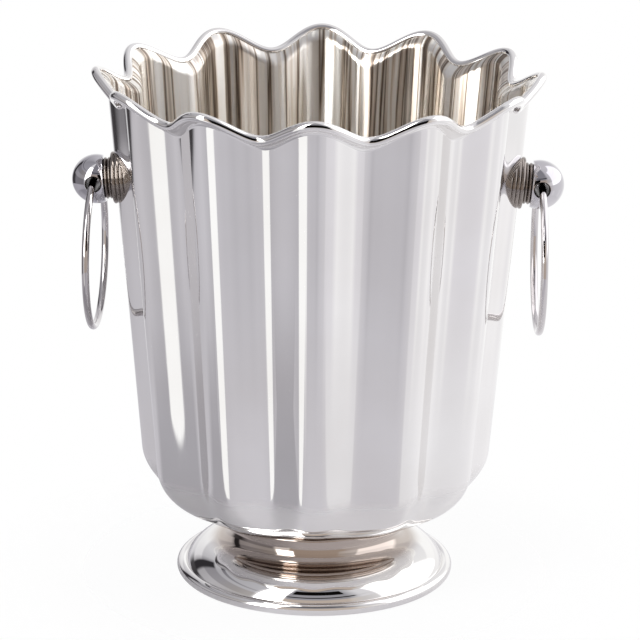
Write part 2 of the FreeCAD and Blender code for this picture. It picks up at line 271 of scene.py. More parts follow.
def upper_wall(angle, share):
    """Share 0 to 1 is the straight wall, 1 to 2 its flare, a parabola that ends at the flare's lean."""
    edge_radius, edge_height = wall_edge(angle)
    start = edge_height - flare_reach
    straight = wall_end_height + (start - wall_end_height) * share
    height = np.where(share < 1, straight, start + flare_reach * (share - 1))
    flare = edge_radius - wall_radius(angle, edge_height)
    length = 2 * flare / (np.tan(flare_lean) - wall_slope)
    near = np.maximum(0, 1 - (edge_height - height) / length)
    return wall_radius(angle, height) + flare * near ** 2, height


def lower_wall(angle, share):
    """Share -1 to 0 is a quarter ellipse from the floor to the wall, on which the flutes fade in."""
    turn = -share * np.pi / 2
    drop = (wall_end_height - floor_height - half_wall) * np.sin(turn)
    taper = floor_radius + (wall_end_radius - floor_radius - wall_slope * drop) * np.cos(turn)
    return taper * (1 + flute_share * np.cos(turn) ** 2 * lobe_wave(angle)), wall_end_height - drop


def around(angle, radius, height):
    """Points (r sin a, -r cos a, z), so that angle 0 faces the camera's side."""
    return np.stack(np.broadcast_arrays(radius * np.sin(angle), -radius * np.cos(angle), height), -1)


def wall_middle(angle, share):
    """The middle of the sheet, from the floor (share -1) to the upper edge (share 2)."""
    low_radius, low_height = lower_wall(angle, np.minimum(share, 0))
    radius, height = upper_wall(angle, np.maximum(share, 0))
    below = share < 0
    return around(angle, np.where(below, low_radius, radius), np.where(below, low_height, height))


def unit(vectors):
    """Vectors over their own length."""
    return vectors / np.linalg.norm(vectors, axis=-1, keepdims=True)


def wall_side(angle, share, offset):
    """The middle of the sheet moved along its normal, the cross product of small steps both ways."""
    along = wall_middle(angle + step, share) - wall_middle(angle - step, share)
    up = wall_middle(angle, np.minimum(share + step, 2)) - wall_middle(angle, np.maximum(share - step, -1))
    return wall_middle(angle, share) + offset * unit(np.cross(along, up))


def make_piece(name, points, rows_closed=True, columns_closed=True):
    """A mesh from a (rows, columns, 3) grid of points, closed over either way."""
    rows, columns = points.shape[:2]
    row = np.arange(rows if rows_closed else rows - 1)[:, None]
    column = np.arange(columns if columns_closed else columns - 1)[None, :]
    next_row, next_column = (row + 1) % rows, (column + 1) % columns
    corners = (row * columns + column, row * columns + next_column,
               next_row * columns + next_column, next_row * columns + column)
    quads = np.stack(np.broadcast_arrays(*corners), -1).reshape(-1, 4)
    return make_mesh(name, points.reshape(-1, 3), quads)


def facing_out(points, quads):
    """The quads of a closed shell, turned round where its signed volume is negative, so that its
    faces point outwards."""
    first, second, third, fourth = (points[quads[:, corner]] for corner in range(4))
    volume = np.sum(first * (np.cross(second, third) + np.cross(third, fourth)))
    return quads if volume >= 0 else quads[:, ::-1]


def make_mesh(name, points, quads):
    """A smooth mesh object from points and quads, with its sharp edges kept sharp."""
    quads = facing_out(points, quads)
    mesh = bpy.data.meshes.new(name)
    mesh.vertices.add(len(points))
    mesh.vertices.foreach_set("co", points.astype(np.float32).ravel())
    mesh.loops.add(quads.size)
    mesh.loops.foreach_set("vertex_index", quads.astype(np.int32).ravel())
    mesh.polygons.add(len(quads))
    mesh.polygons.foreach_set("loop_start", np.arange(0, quads.size, 4, dtype=np.int32))
    mesh.polygons.foreach_set("use_smooth", np.ones(len(quads), bool))
    mesh.update(calc_edges=True)
    shell = bmesh.new()
    shell.from_mesh(mesh)
    bmesh.ops.remove_doubles(shell, verts=shell.verts, dist=merge_distance)
    shell.to_mesh(mesh)
    shell.free()
    mesh.set_sharp_from_angle(angle=sharp_angle)
    piece = bpy.data.objects.new(name, mesh)
    bpy.context.scene.collection.objects.link(piece)
    return piece


def turned_piece(name, profile, place=None, steps=turned_steps, closed=True):
    """A (radius, distance) profile turned about its axis, which place may move. It is closed, or
    starts and ends on the axis."""
    angle = np.linspace(0, full_turn, steps, endpoint=False)[None, :]
    points = around(angle, profile[:, :1], profile[:, 1:])
    return make_piece(name, points if place is None else place(points), rows_closed=closed)


def ribs(share, count):
    """Rounded ribs side by side: the power of a rectified sine, 1 on a rib and 0 in a groove."""
    return np.abs(np.sin(np.pi * count * share)) ** rib_power


def arc(centre, radius, first, last, count):
    """Points of an arc in (radius, height), with angles in degrees from outwards to upwards."""
    turn = np.radians(np.linspace(first, last, count))
    return np.stack([centre[0] + radius * np.cos(turn), centre[1] + radius * np.sin(turn)], -1)


def bucket_sheet():
    """The outer side, upper edge, inner side and floor of the sheet, as one closed profile
    that is carried round the lobes."""
    angle = np.linspace(0, full_turn, lobe_count * steps_per_lobe, endpoint=False)[None, :]
    floor_shares = np.linspace(0, 1, 6)[:-1, None]
    floor_line = bolt_hole_radius + (floor_radius - bolt_hole_radius) * floor_shares
    rounding, straight, flare = np.linspace(-1, 0, 28), np.linspace(0, 1, 44)[1:], np.linspace(1, 2, 26)[1:]
    shares = np.concatenate([rounding, straight, flare])[:, None]
    under = around(angle, floor_line, floor_height)
    outer = wall_side(angle, shares, half_wall)
    inner = wall_side(angle, shares[::-1], -half_wall)
    over = around(angle, floor_line[::-1], floor_height + 2 * half_wall)
    points = np.concatenate([under, outer, inner, over])
    piece = make_piece("bucket_sheet", points[:, ::-1])
    outside_rows = len(under) + len(outer)
    inside = np.repeat(np.arange(len(points)) >= outside_rows, points.shape[1])
    piece.data.polygons.foreach_set("material_index", inside.astype(np.int32))
    return piece


def wire_loop(centre_line, wire_radius, upright):
    """A round wire: at each point of a closed line, a circle square to the line's heading."""
    heading = np.roll(centre_line, -1, 0) - np.roll(centre_line, 1, 0)
    side = unit(np.cross(heading, upright))
    up = unit(np.cross(side, heading))
    turn = np.linspace(0, full_turn, wire_steps, endpoint=False)[None, :, None]
    circle = np.cos(turn) * side[:, None] + np.sin(turn) * up[:, None]
    return centre_line[:, None] + wire_radius * circle


def rim_wire():
    """The round wire along the wavy mouth."""
    angle = np.linspace(0, full_turn, lobe_count * rim_steps_per_lobe, endpoint=False)
    line = around(angle, *rim_path(angle))
    return make_piece("rim_bead", wire_loop(line, rim_wire_radius, (0, 0, 1)))


def foot_shell():
    """Neck, cove and shoulder outside, the same lines inside, and the plate under the floor."""
    centre = (neck_radius + cove_radius, cove_floor_height + cove_radius)
    dome = (neck_radius + cove_radius, cove_floor_height - shoulder_radius)
    away = np.array([bead_circle_radius, bead_height]) - dome
    span, reach = np.hypot(*away), bead_radius * solder_depth_share
    cosine = (shoulder_radius ** 2 + span ** 2 - reach ** 2) / (2 * shoulder_radius * span)
    last = np.degrees(np.arctan2(away[1], away[0]) + np.arccos(cosine))
    under_plate = floor_height - foot_thickness
    outside = np.concatenate([
        [[bolt_hole_radius, floor_height], [foot_seat_radius, floor_height],
         [foot_seat_radius, under_plate], [neck_radius, under_plate]],
        arc(centre, cove_radius, 180, 270, 40),
        arc(dome, shoulder_radius, 90, last, 60)])
    inside = np.concatenate([
        arc(dome, shoulder_radius - foot_thickness, last, 90, 30),
        arc(centre, cove_radius + foot_thickness, 270, 180, 20),
        [[neck_radius - foot_thickness, under_plate], [bolt_hole_radius, under_plate]]])
    return turned_piece("foot_dome", np.concatenate([outside, inside])[::-1])


def foot_bead():
    """A round section, cut flat where it stands."""
    section = arc((bead_circle_radius, bead_height), bead_radius, 0, 360, 49)[:-1]
    section[:, 1] = np.maximum(section[:, 1], 0)
    return turned_piece("foot_bead", section[::-1])


def on_handle(side):
    """Moves points from the handle's own axis, +Z here, to the crest of its lobe."""
    lean = np.arctan(wall_slope)
    crest = wall_radius(0, handle_height) + half_wall / np.cos(lean)
    sign = 1 if side == "right" else -1

    def place(points):
        out, across, up = points[..., 2], points[..., 0], points[..., 1]
        x = crest + out * np.cos(lean) + up * np.sin(lean)
        z = handle_height + up * np.cos(lean) - out * np.sin(lean)
        return np.stack([sign * x, sign * across, z], -1)
    return place


def wall_depth(across, up):
    """How far the lobe lies behind its crest, along the handle's axis, in ever closer rounds."""
    lean = np.arctan(wall_slope)
    crest = wall_radius(0, handle_height) + half_wall / np.cos(lean)
    depth = np.zeros_like(across)
    angle = np.zeros_like(across)
    for _ in range(seat_rounds):
        height = handle_height + up * np.cos(lean) - depth * np.sin(lean)
        swing = flute_share * lobe_count * np.sin(lobe_count * angle)
        radius = wall_radius(angle, height) + half_wall * np.sqrt(1 + swing ** 2 + wall_slope ** 2)
        angle = np.arcsin(across / radius)
        depth = (radius * np.cos(angle) - crest - up * np.sin(lean)) / np.cos(lean)
    return depth


def base_plate(side):
    """A turned base with ribs. Its side runs from the front face back to the lobe that it sits
    on, at the depth where the lobe lies at each angle, and its back follows the lobe."""
    angle = np.linspace(0, full_turn, turned_steps, endpoint=False)[None, :]
    core = plate_radius - plate_groove_depth
    front = around(angle, np.linspace(spigot_radius, core, 6)[:, None], plate_thickness)
    reach = plate_radius - plate_groove_depth / 2
    end = wall_depth(reach * np.sin(angle), -reach * np.cos(angle)) - seat_overlap
    depth = plate_thickness + (end - plate_thickness) * np.linspace(0, 1, plate_rib_steps)[1:, None]
    rib = ribs((plate_thickness - depth) / plate_rib_width, 1)
    rim = around(angle, plate_radius - plate_groove_depth * (1 - rib), depth)
    back = around(angle, np.linspace(spigot_radius, core, 8)[::-1, None], 0.0)
    back[..., 2] = wall_depth(back[..., 0], back[..., 1]) - seat_overlap
    points = np.concatenate([front, rim, back])
    return make_piece(side + "_saddle_plate", on_handle(side)(points))


def collar(side):
    """Two rounded ribs with a groove between them."""
    share = np.linspace(0, 1, 41)
    outside = np.stack([collar_radius - collar_groove_depth * (1 - ribs(share, collar_rib_count)),
                        plate_thickness + collar_width * share], -1)
    bore = [[spigot_radius, plate_thickness + collar_width], [spigot_radius, plate_thickness]]
    return turned_piece(side + "_ribbed_collar", np.concatenate([outside, bore])[::-1], on_handle(side))


def knob(side):
    """The drilled ball. Round the hole's axis at angle p, the ball's section is a circle of radius
    sqrt(R^2 - c^2 + (c cos p)^2) about -c cos p, which rolls over a lip into the hole's wall.
    A soft maximum lays the back on its plane."""
    turn = np.linspace(0, full_turn, ball_steps, endpoint=False)[None, :]
    offset = -ring_hole_offset * np.cos(turn)
    section = np.sqrt(ball_radius ** 2 - ring_hole_offset ** 2 + offset ** 2)
    mouth = ring_hole_radius + ring_hole_lip
    reach = np.arccos((mouth - offset) / section)
    sweep = np.linspace(-1, 1, ball_sweep_steps)[:, None]
    distance = offset + section * np.cos(reach * sweep)
    height = section * np.sin(reach * sweep)
    edge = section * np.sin(reach)
    lip_turn = np.linspace(0, np.pi / 2, 8)[1:, None]
    lip_distance = mouth - ring_hole_lip * np.sin(lip_turn)
    lip_height = edge - ring_hole_lip * (1 - np.cos(lip_turn))
    lip_distance, lip_height = np.broadcast_arrays(lip_distance, lip_height)
    hole_height = lip_height[-1:] * np.linspace(1, -1, 20)[1:-1, None]
    hole_distance = np.full_like(hole_height, ring_hole_radius)
    distance = np.concatenate([distance, lip_distance, hole_distance, lip_distance[::-1]])
    height = np.concatenate([height, lip_height, hole_height, -lip_height[::-1]])
    out = ring_hole_offset + distance * np.cos(turn)
    up = distance * np.sin(turn)
    behind = out + ball_back_depth
    out = -ball_back_depth + (behind + np.sqrt(behind ** 2 + ball_edge_softness ** 2)) / 2
    centre = plate_thickness + collar_width + ball_back_depth
    points = np.stack([height, up, out + centre], -1)
    piece = make_piece(side + "_ball", on_handle(side)(points))
    in_hole = np.repeat(np.arange(len(points)) >= len(sweep) - 1, points.shape[1])
    piece.data.polygons.foreach_set("material_index", in_hole.astype(np.int32))
    return piece


def ring(side):
    """A circle of round wire that hangs in the ball's hole, turned a little about the vertical."""
    joint = next(joint for joint in frame["joints"] if joint["name"] == side + "_ring_swing")
    hole = np.array(joint["pos_m"])
    turn = np.linspace(0, full_turn, ring_steps, endpoint=False)
    yaw = ring_turns[side]
    across = ring_circle_radius * np.sin(turn)
    up = ring_circle_radius * (np.cos(turn) - 1) + ring_rest_drop
    line = hole + np.stack([-across * np.sin(yaw), across * np.cos(yaw), up], -1)
    flat = np.array([np.cos(yaw), np.sin(yaw), 0.0])
    return make_piece(side + "_wire_ring", wire_loop(line, ring_wire_radius, flat))


def foot_bolt():
    """A low domed head above the seal washer, and the shank through the floor."""
    base = floor_height + 2 * half_wall + seal_washer_thickness
    dome = (bolt_head_radius ** 2 + bolt_head_height ** 2) / (2 * bolt_head_height)
    first = np.degrees(np.arcsin(1 - bolt_head_height / dome))
    head = arc((0, base + bolt_head_height - dome), dome, first, 90, 16)
    shank = [[0, bolt_tip_height], [bolt_radius, bolt_tip_height],
             [bolt_radius, base], [bolt_head_radius, base]]
    profile = np.concatenate([shank, head])
    return turned_piece("floor_bolt", profile, steps=small_turned_steps, closed=False)


def seal_washer():
    """A soft washer with round edges."""
    base = floor_height + 2 * half_wall
    bulge = seal_washer_thickness / 2
    edge = arc((seal_washer_radius - bulge, base + bulge), bulge, -90, 90, 12)
    inner = [[bolt_hole_radius, base + 2 * bulge], [bolt_hole_radius, base]]
    return turned_piece("floor_seal", np.concatenate([edge, inner]), steps=small_turned_steps)


def linear(code):
    """An sRGB hex colour as linear red, green, blue and alpha."""
    value = np.array([int(code[i:i + 2], 16) for i in (1, 3, 5)]) / 255
    low, high = value / 12.92, ((value + 0.055) / 1.055) ** 2.4
    return (*np.where(value <= 0.04045, low, high), 1.0)


def add(tree, kind, links=(), values=(), **settings):
    """Adds a node with its settings, its sockets' values and its incoming links."""
    node = tree.nodes.new(kind)
    for key, value in settings.items():
        setattr(node, key, value)
    for socket, value in dict(values).items():
        node.inputs[socket].default_value = value
    for socket, source in dict(links).items():
        tree.links.new(source, node.inputs[socket])
    return node


def new_material(name):
    """A node material, and its empty tree."""
    material = bpy.data.materials.new(name)
    material.use_nodes = True
    material.node_tree.nodes.clear()
    return material, material.node_tree


def surface(tree, shader):
    """Links a shader to the material's output."""
    add(tree, "ShaderNodeOutputMaterial", {"Surface": shader.outputs[0]})


def down_the_flutes(tree):
    """Coordinates squeezed along Z, so that a pattern runs in long lines up the wall."""
    place = add(tree, "ShaderNodeTexCoord").outputs["Object"]
    return add(tree, "ShaderNodeMapping", {"Vector": place}, {"Scale": (1, 1, flute_line_share)}).outputs[0]


def up_the_inside(tree):
    """The direction from the axis on a circle as wide as the rim, and the height squeezed, so that
    a pattern runs up the wall and its flare in lines that do not slide sideways."""
    place = add(tree, "ShaderNodeTexCoord").outputs["Object"]
    flat = add(tree, "ShaderNodeVectorMath", {0: place}, {1: (1, 1, 0)}, operation="MULTIPLY")
    facing = add(tree, "ShaderNodeVectorMath", {0: flat.outputs[0]}, operation="NORMALIZE")
    values = {1: (0, 0, streak_line_share)}
    height = add(tree, "ShaderNodeVectorMath", {0: place}, values, operation="MULTIPLY")
    links = {0: facing.outputs[0], 2: height.outputs[0]}
    values = {1: (rim_radius,) * 3}
    return add(tree, "ShaderNodeVectorMath", links, values, operation="MULTIPLY_ADD").outputs[0]


def round_axis(tree, centre, axis):
    """Radius and distance along an axis, so that a pattern runs in turned rings."""
    place = add(tree, "ShaderNodeTexCoord").outputs["Object"]
    offset = add(tree, "ShaderNodeVectorMath", {0: place}, {1: centre}, operation="SUBTRACT")
    values = {1: 1 - np.array(axis)}
    flat = add(tree, "ShaderNodeVectorMath", {0: offset.outputs[0]}, values, operation="MULTIPLY")
    radius = add(tree, "ShaderNodeVectorMath", {0: flat.outputs[0]}, operation="LENGTH")
    along = add(tree, "ShaderNodeVectorMath", {0: offset.outputs[0]}, {1: axis}, operation="DOT_PRODUCT")
    links = {"X": radius.outputs["Value"], "Y": along.outputs["Value"]}
    return add(tree, "ShaderNodeCombineXYZ", links).outputs[0]


def grain(tree, vector, width, detail=2.0):
    """A noise whose bumps are about as wide as the width in metres."""
    values = {"Scale": noise_bumps_per_cell / width, "Detail": detail}
    return add(tree, "ShaderNodeTexNoise", {"Vector": vector}, values).outputs["Fac"]


def spread(tree, value, low, high):
    """The middle of a noise, drawn out to the range from low to high."""
    values = {"From Min": noise_low, "From Max": noise_high, "To Min": low, "To Max": high}
    return add(tree, "ShaderNodeMapRange", {"Value": value}, values).outputs[0]


def tint(tree, value, first, second):
    """A colour between two hex colours, by a noise."""
    share = spread(tree, value, 0.0, 1.0)
    values = {6: linear(first), 7: linear(second)}
    return add(tree, "ShaderNodeMix", {0: share}, values, data_type="RGBA").outputs[2]


def covered(tree, share, colour, cover):
    """A colour with a hex colour over it by a share."""
    links = {0: share, 6: colour}
    return add(tree, "ShaderNodeMix", links, {7: linear(cover)}, data_type="RGBA").outputs[2]


def ramp(tree, share, stops):
    """Hex colours at places from 0 to 1, blended between."""
    node = add(tree, "ShaderNodeValToRGB", {"Fac": share})
    elements = node.color_ramp.elements
    for place, _ in stops[1:-1]:
        elements.new(place)
    for element, (place, colour) in zip(elements, stops):
        element.position, element.color = place, linear(colour)
    return node.outputs["Color"]


def raised(tree, value, height, normal=None):
    """A bump whose highest point stands its height in metres proud."""
    links = {"Height": value} if normal is None else {"Height": value, "Normal": normal}
    return add(tree, "ShaderNodeBump", links, {"Strength": 1.0, "Distance": height}).outputs[0]


def towards_axis(tree, start, end):
    """0 beyond the start radius about Z and 1 within the end radius, smooth between."""
    radius = add(tree, "ShaderNodeSeparateXYZ", {"Vector": about_z(tree)}).outputs["X"]
    values = {"From Min": start, "From Max": end}
    share = add(tree, "ShaderNodeMapRange", {"Value": radius}, values, interpolation_type="SMOOTHSTEP")
    return share.outputs[0]


def painted_recess_shade(tree, colour):
    """Painted shade: a warm darker colour towards the axis, in the cove and on the neck of the foot."""
    share = towards_axis(tree, recess_shade_start, recess_shade_end)
    return covered(tree, share, colour, recess_shade_colour)


def painted_groove_shade(tree, colour):
    """Painted shade: a dark colour in the grooves between the ribs."""
    radius = add(tree, "ShaderNodeSeparateXYZ", {"Vector": about_handles(tree)}).outputs["X"]
    values = {"From Min": groove_shade_start, "From Max": groove_shade_end}
    share = add(tree, "ShaderNodeMapRange", {"Value": radius}, values).outputs[0]
    return covered(tree, share, colour, groove_shade_colour)


def buffed_plate(name, lines, colours, shine, wave_height, darker_tint=None):
    """Silver plate on brass, buffed on a mop: a mirror that runs a little where the mop pressed,
    with hairlines in the mop's direction that dull it by streaks."""
    material, tree = new_material(name)
    vector = lines(tree)
    place = add(tree, "ShaderNodeTexCoord").outputs["Object"]
    wave = raised(tree, grain(tree, place, mop_wave_width, 0.0), wave_height)
    hair = grain(tree, vector, hairline_width, 3.0)
    colour = tint(tree, grain(tree, place, tarnish_width, 4.0), *colours)
    links = {
        # The darker tint, where a function is given, lays painted shade over the colour
        "Base Color": colour if darker_tint is None else darker_tint(tree, colour),
        "Roughness": spread(tree, hair, *shine),
        "Normal": raised(tree, hair, hairline_depth, wave),
    }
    surface(tree, add(tree, "ShaderNodeBsdfPrincipled", links, {"Metallic": 1.0}))
    return material


def drawn_plate(name):
    """Silver plate inside the bowl, satin from drawing: fine level lines that spread a highlight
    up and down the wall, upright waves of the sheet that turn it aside, and painted reflections
    in streaks, cream and dark brown. The waves and streaks die out on the floor."""
    material, tree = new_material(name)
    place = add(tree, "ShaderNodeTexCoord").outputs["Object"]
    values = {"Scale": (level_line_share, level_line_share, 1)}
    level = add(tree, "ShaderNodeMapping", {"Vector": place}, values).outputs[0]
    lines = grain(tree, level, level_line_width, 4.0)
    upright = up_the_inside(tree)
    streak = grain(tree, upright, streak_width, 4.0)
    floor = towards_axis(tree, floor_satin_start, floor_satin_end)
    waves = grain(tree, upright, draw_wave_width, 2.0)
    calm = add(tree, "ShaderNodeMix", {0: floor, 2: waves}, {3: (noise_low + noise_high) / 2}).outputs[0]
    wave = raised(tree, calm, draw_wave_height)
    around_wall = add(tree, "ShaderNodeTangent", direction_type="RADIAL", axis="Z").outputs[0]
    # The base colour carries the painted reflections in streaks
    links = {
        "Base Color": covered(tree, floor, ramp(tree, streak, streaks), floor_film),
        "Roughness": spread(tree, streak, *inner_shine),
        "Normal": raised(tree, lines, level_line_depth, wave),
        "Tangent": around_wall,
    }
    values = {"Metallic": 1.0, "Anisotropic": 1.0, "Anisotropic Rotation": 0.25}
    surface(tree, add(tree, "ShaderNodeBsdfPrincipled", links, values))
    return material


def turned_metal(name, colours, roughness):
    """Bare metal from the lathe: level rings that dull it by turns."""
    material, tree = new_material(name)
    rings = grain(tree, about_z(tree), lathe_line_width, 3.0)
    links = {
        "Base Color": tint(tree, rings, *colours),
        "Roughness": spread(tree, rings, roughness - lathe_shine_spread, roughness + lathe_shine_spread),
        "Normal": raised(tree, rings, lathe_line_depth),
    }
    surface(tree, add(tree, "ShaderNodeBsdfPrincipled", links, {"Metallic": 1.0}))
    return material


def moulded_rubber(name):
    """Black rubber from a mould: matt, with a faint bloom and a fine grain."""
    material, tree = new_material(name)
    place = add(tree, "ShaderNodeTexCoord").outputs["Object"]
    bloom = grain(tree, place, rubber_bloom_width, 3.0)
    links = {
        "Base Color": tint(tree, bloom, *rubber_colours),
        "Roughness": spread(tree, bloom, *rubber_shine),
        "Normal": raised(tree, grain(tree, place, rubber_grain_width), rubber_grain_depth),
    }
    surface(tree, add(tree, "ShaderNodeBsdfPrincipled", links))
    return material


def about_z(tree):
    """Turned rings round the bucket's own axis."""
    return round_axis(tree, (0, 0, 0), (0, 0, 1))


def about_handles(tree):
    """Turned rings round the handles' axis."""
    return round_axis(tree, (0, 0, handle_height), (1, 0, 0))


def along_ring(tree):
    """Lines along the wire of a hanging ring."""
    return round_axis(tree, (0, 0, handle_height - ring_circle_radius), (1, 0, 0))


bright, darker_tint = "#F4F3F2", "#ECEAE8"
# The outside mirrors the room nearly sharp, and the wall runs a little where the mop pressed
wall_silver = buffed_plate(
    "buffed silver plate, fluted wall", down_the_flutes, (bright, darker_tint), (0.035, 0.09), 4e-5)
# The foot's cove and neck carry painted shade
foot_silver = buffed_plate(
    "buffed silver plate, turned foot", about_z, (bright, darker_tint), (0.012, 0.03), 1e-5, painted_recess_shade)
rim_silver = buffed_plate(
    "buffed silver plate, rim wire", about_z, (bright, darker_tint), (0.02, 0.05), 5e-6)
# The handles' colours are painted darker with painted shade, darkest on the ribbed neck
knob_silver = buffed_plate(
    "buffed silver plate, turned handle", about_handles, ("#D2D0D3", "#C0BEC4"), (0.02, 0.05), 1e-5)
neck_silver = buffed_plate(
    "buffed silver plate, ribbed neck", about_handles, ("#9C9590", "#857D77"), (0.02, 0.06), 1e-5,
    painted_groove_shade)
wire_silver = buffed_plate(
    "buffed silver plate, drawn wire", along_ring, ("#DCD9DA", "#C6C2C2"), (0.02, 0.06), 1e-5)
# The inside is satin, with painted reflections in warm streaks
inner_silver = drawn_plate("drawn silver plate, satin")
# The ball's hole is painted nearly black: painted shade inside the hole
bore_silver = turned_metal("silver plate with painted shade, drilled hole", ("#3A3431", "#1E1B1A"), 0.3)
# The hidden fixings are bare and dull
steel = turned_metal("turned stainless steel", ("#C9CACB", "#B4B5B7"), 0.3)
brass = turned_metal("turned brass", ("#D8B878", "#C4A15F"), 0.28)
rubber = moulded_rubber("moulded seal rubber")

body = "bucket"
pieces = [
    (bucket_sheet(), "bucket_body", body, "body_plate", [wall_silver, inner_silver]),
    (rim_wire(), "rim_wire", body, "rim_plate", [rim_silver]),
    (foot_shell(), "foot_shell", body, "foot_plate", [foot_silver]),
    (foot_bead(), "foot_bead_ring", body, "foot_plate", [foot_silver]),
    (foot_bolt(), "foot_bolt", body, "fixing_steel", [steel]),
    (seal_washer(), "seal_washer", body, "seal_rubber", [rubber]),
]
for side in ("right", "left"):
    pieces += [
        (base_plate(side), side + "_base_plate", body, "handle_plate", [neck_silver]),
        (collar(side), side + "_collar", body, "handle_plate", [neck_silver]),
        (knob(side), side + "_knob", body, "handle_plate", [knob_silver, bore_silver]),
        (ring(side), side + "_ring", side + "_ring_body", "ring_plate", [wire_silver]),
    ]
for piece, node, rides_on, slot, materials in pieces:
    for material in materials:
        piece.data.materials.append(material)
    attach(piece, rides_on)
    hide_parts(node)

for node, material in {
    "clamp_washer": steel, "spring_washer": steel, "foot_nut": steel,
    "right_screw": steel, "left_screw": steel, "right_seat_washer": brass, "left_seat_washer": brass,
}.items():
    for slot in frame["nodes"][node].material_slots:
        slot.material = material


def place_camera():
    """The camera at the photograph's place, from its distance, rise, yaw, pitch and roll."""
    back, rise = camera_distance * np.cos(camera_rise), camera_distance * np.sin(camera_rise)
    place = np.array([0, -back, rim_height + rise])
    level = np.cos(camera_pitch)
    ahead = np.array([np.sin(camera_yaw) * level, np.cos(camera_yaw) * level, -np.sin(camera_pitch)])
    right = unit(np.cross(ahead, (0, 0, 1)))
    up = np.cross(right, ahead)
    cos, sin = np.cos(camera_roll), np.sin(camera_roll)
    axes = np.stack([cos * right + sin * up, cos * up - sin * right, -ahead], -1)
    pose = np.eye(4)
    pose[:3, :3], pose[:3, 3] = axes, place
    data = bpy.data.cameras.new("camera")
    data.sensor_width = sensor_width
    data.lens = focal_pixels * sensor_width / image_pixels
    camera = bpy.data.objects.new("camera", data)
    camera.matrix_world = Matrix.Rotation(object_turn, 4, "Z") @ Matrix(pose.tolist())
    bpy.context.scene.collection.objects.link(camera)
    bpy.context.scene.camera = camera


def by_azimuth(stops):
    """Stops in degrees from the camera's side as shares of a turn."""
    return [((degrees + 180) / 360, colour) for degrees, colour in stops]


def azimuth_share(tree, along):
    """The azimuth of a point, 0 towards the camera and positive to the right, as a share of a turn."""
    x, y = along.outputs["X"], along.outputs["Y"]
    ahead = add(tree, "ShaderNodeMath", {0: y}, {1: -1.0}, operation="MULTIPLY")
    azimuth = add(tree, "ShaderNodeMath", {0: x, 1: ahead.outputs[0]}, operation="ARCTAN2")
    values = {"From Min": -np.pi, "From Max": np.pi}
    return add(tree, "ShaderNodeMapRange", {"Value": azimuth.outputs[0]}, values).outputs[0]


def place_apart(tree):
    """X, Y and Z of a point."""
    place = add(tree, "ShaderNodeTexCoord").outputs["Object"]
    return add(tree, "ShaderNodeSeparateXYZ", {"Vector": place})


def from_middle(tree, start, end):
    """0 within the start radius and 1 beyond the end radius, smooth between."""
    place = add(tree, "ShaderNodeTexCoord").outputs["Object"]
    radius = add(tree, "ShaderNodeVectorMath", {0: place}, operation="LENGTH").outputs["Value"]
    values = {"From Min": start, "From Max": end}
    share = add(tree, "ShaderNodeMapRange", {"Value": radius}, values, interpolation_type="SMOOTHSTEP")
    return share.outputs[0]


def only_for_silver(piece):
    """Hides a card from the camera, and keeps its light and shadow off the table."""
    piece.visible_camera = piece.visible_diffuse = piece.visible_shadow = False


def set_up(piece, material):
    """Gives a part of the studio its material."""
    piece.data.materials.append(material)


def disc(name, radii, height):
    """A level disc with points at the radii."""
    turn = np.linspace(0, full_turn, small_turned_steps, endpoint=False)[None, :]
    return make_piece(name, around(turn, np.array(radii)[:, None], height), rows_closed=False)


def table_top():
    """A round pale table top whose edge fades out. It is plain white to the camera except for the
    object's own shadow, and the silver shows it with the room's greys on it."""
    piece = disc("table_top", (0.0, table_fade_start, table_radius), 0.0)
    material, tree = new_material("pale table top")
    path = add(tree, "ShaderNodeLightPath")
    straight, through = path.outputs["Is Camera Ray"], path.outputs["Is Transmission Ray"]
    mirror = path.outputs["Is Glossy Ray"]
    seen = add(tree, "ShaderNodeMath", {0: straight, 1: through}, operation="MAXIMUM")
    clear = add(tree, "ShaderNodeMath", {0: seen.outputs[0]}, {1: table_camera_share}, operation="MULTIPLY")
    plain = add(tree, "ShaderNodeMath", {0: mirror}, {1: table_glossy_share}, operation="MULTIPLY")
    lit = add(tree, "ShaderNodeBsdfDiffuse", values={"Color": linear(table_colour)})
    white = add(tree, "ShaderNodeEmission", values={"Color": linear(plain_white), "Strength": 1.0})
    greys = ramp(tree, azimuth_share(tree, place_apart(tree)), by_azimuth(deep_cards))
    mirrored = add(tree, "ShaderNodeEmission", {"Color": greys}, {"Strength": cards_strength})
    top = add(tree, "ShaderNodeMixShader", {0: clear.outputs[0], 1: lit.outputs[0], 2: white.outputs[0]})
    top = add(tree, "ShaderNodeMixShader", {0: plain.outputs[0], 1: top.outputs[0], 2: mirrored.outputs[0]})
    fade = from_middle(tree, table_fade_start, table_radius)
    nothing = add(tree, "ShaderNodeBsdfTransparent")
    surface(tree, add(tree, "ShaderNodeMixShader", {0: fade, 1: top.outputs[0], 2: nothing.outputs[0]}))
    set_up(piece, material)


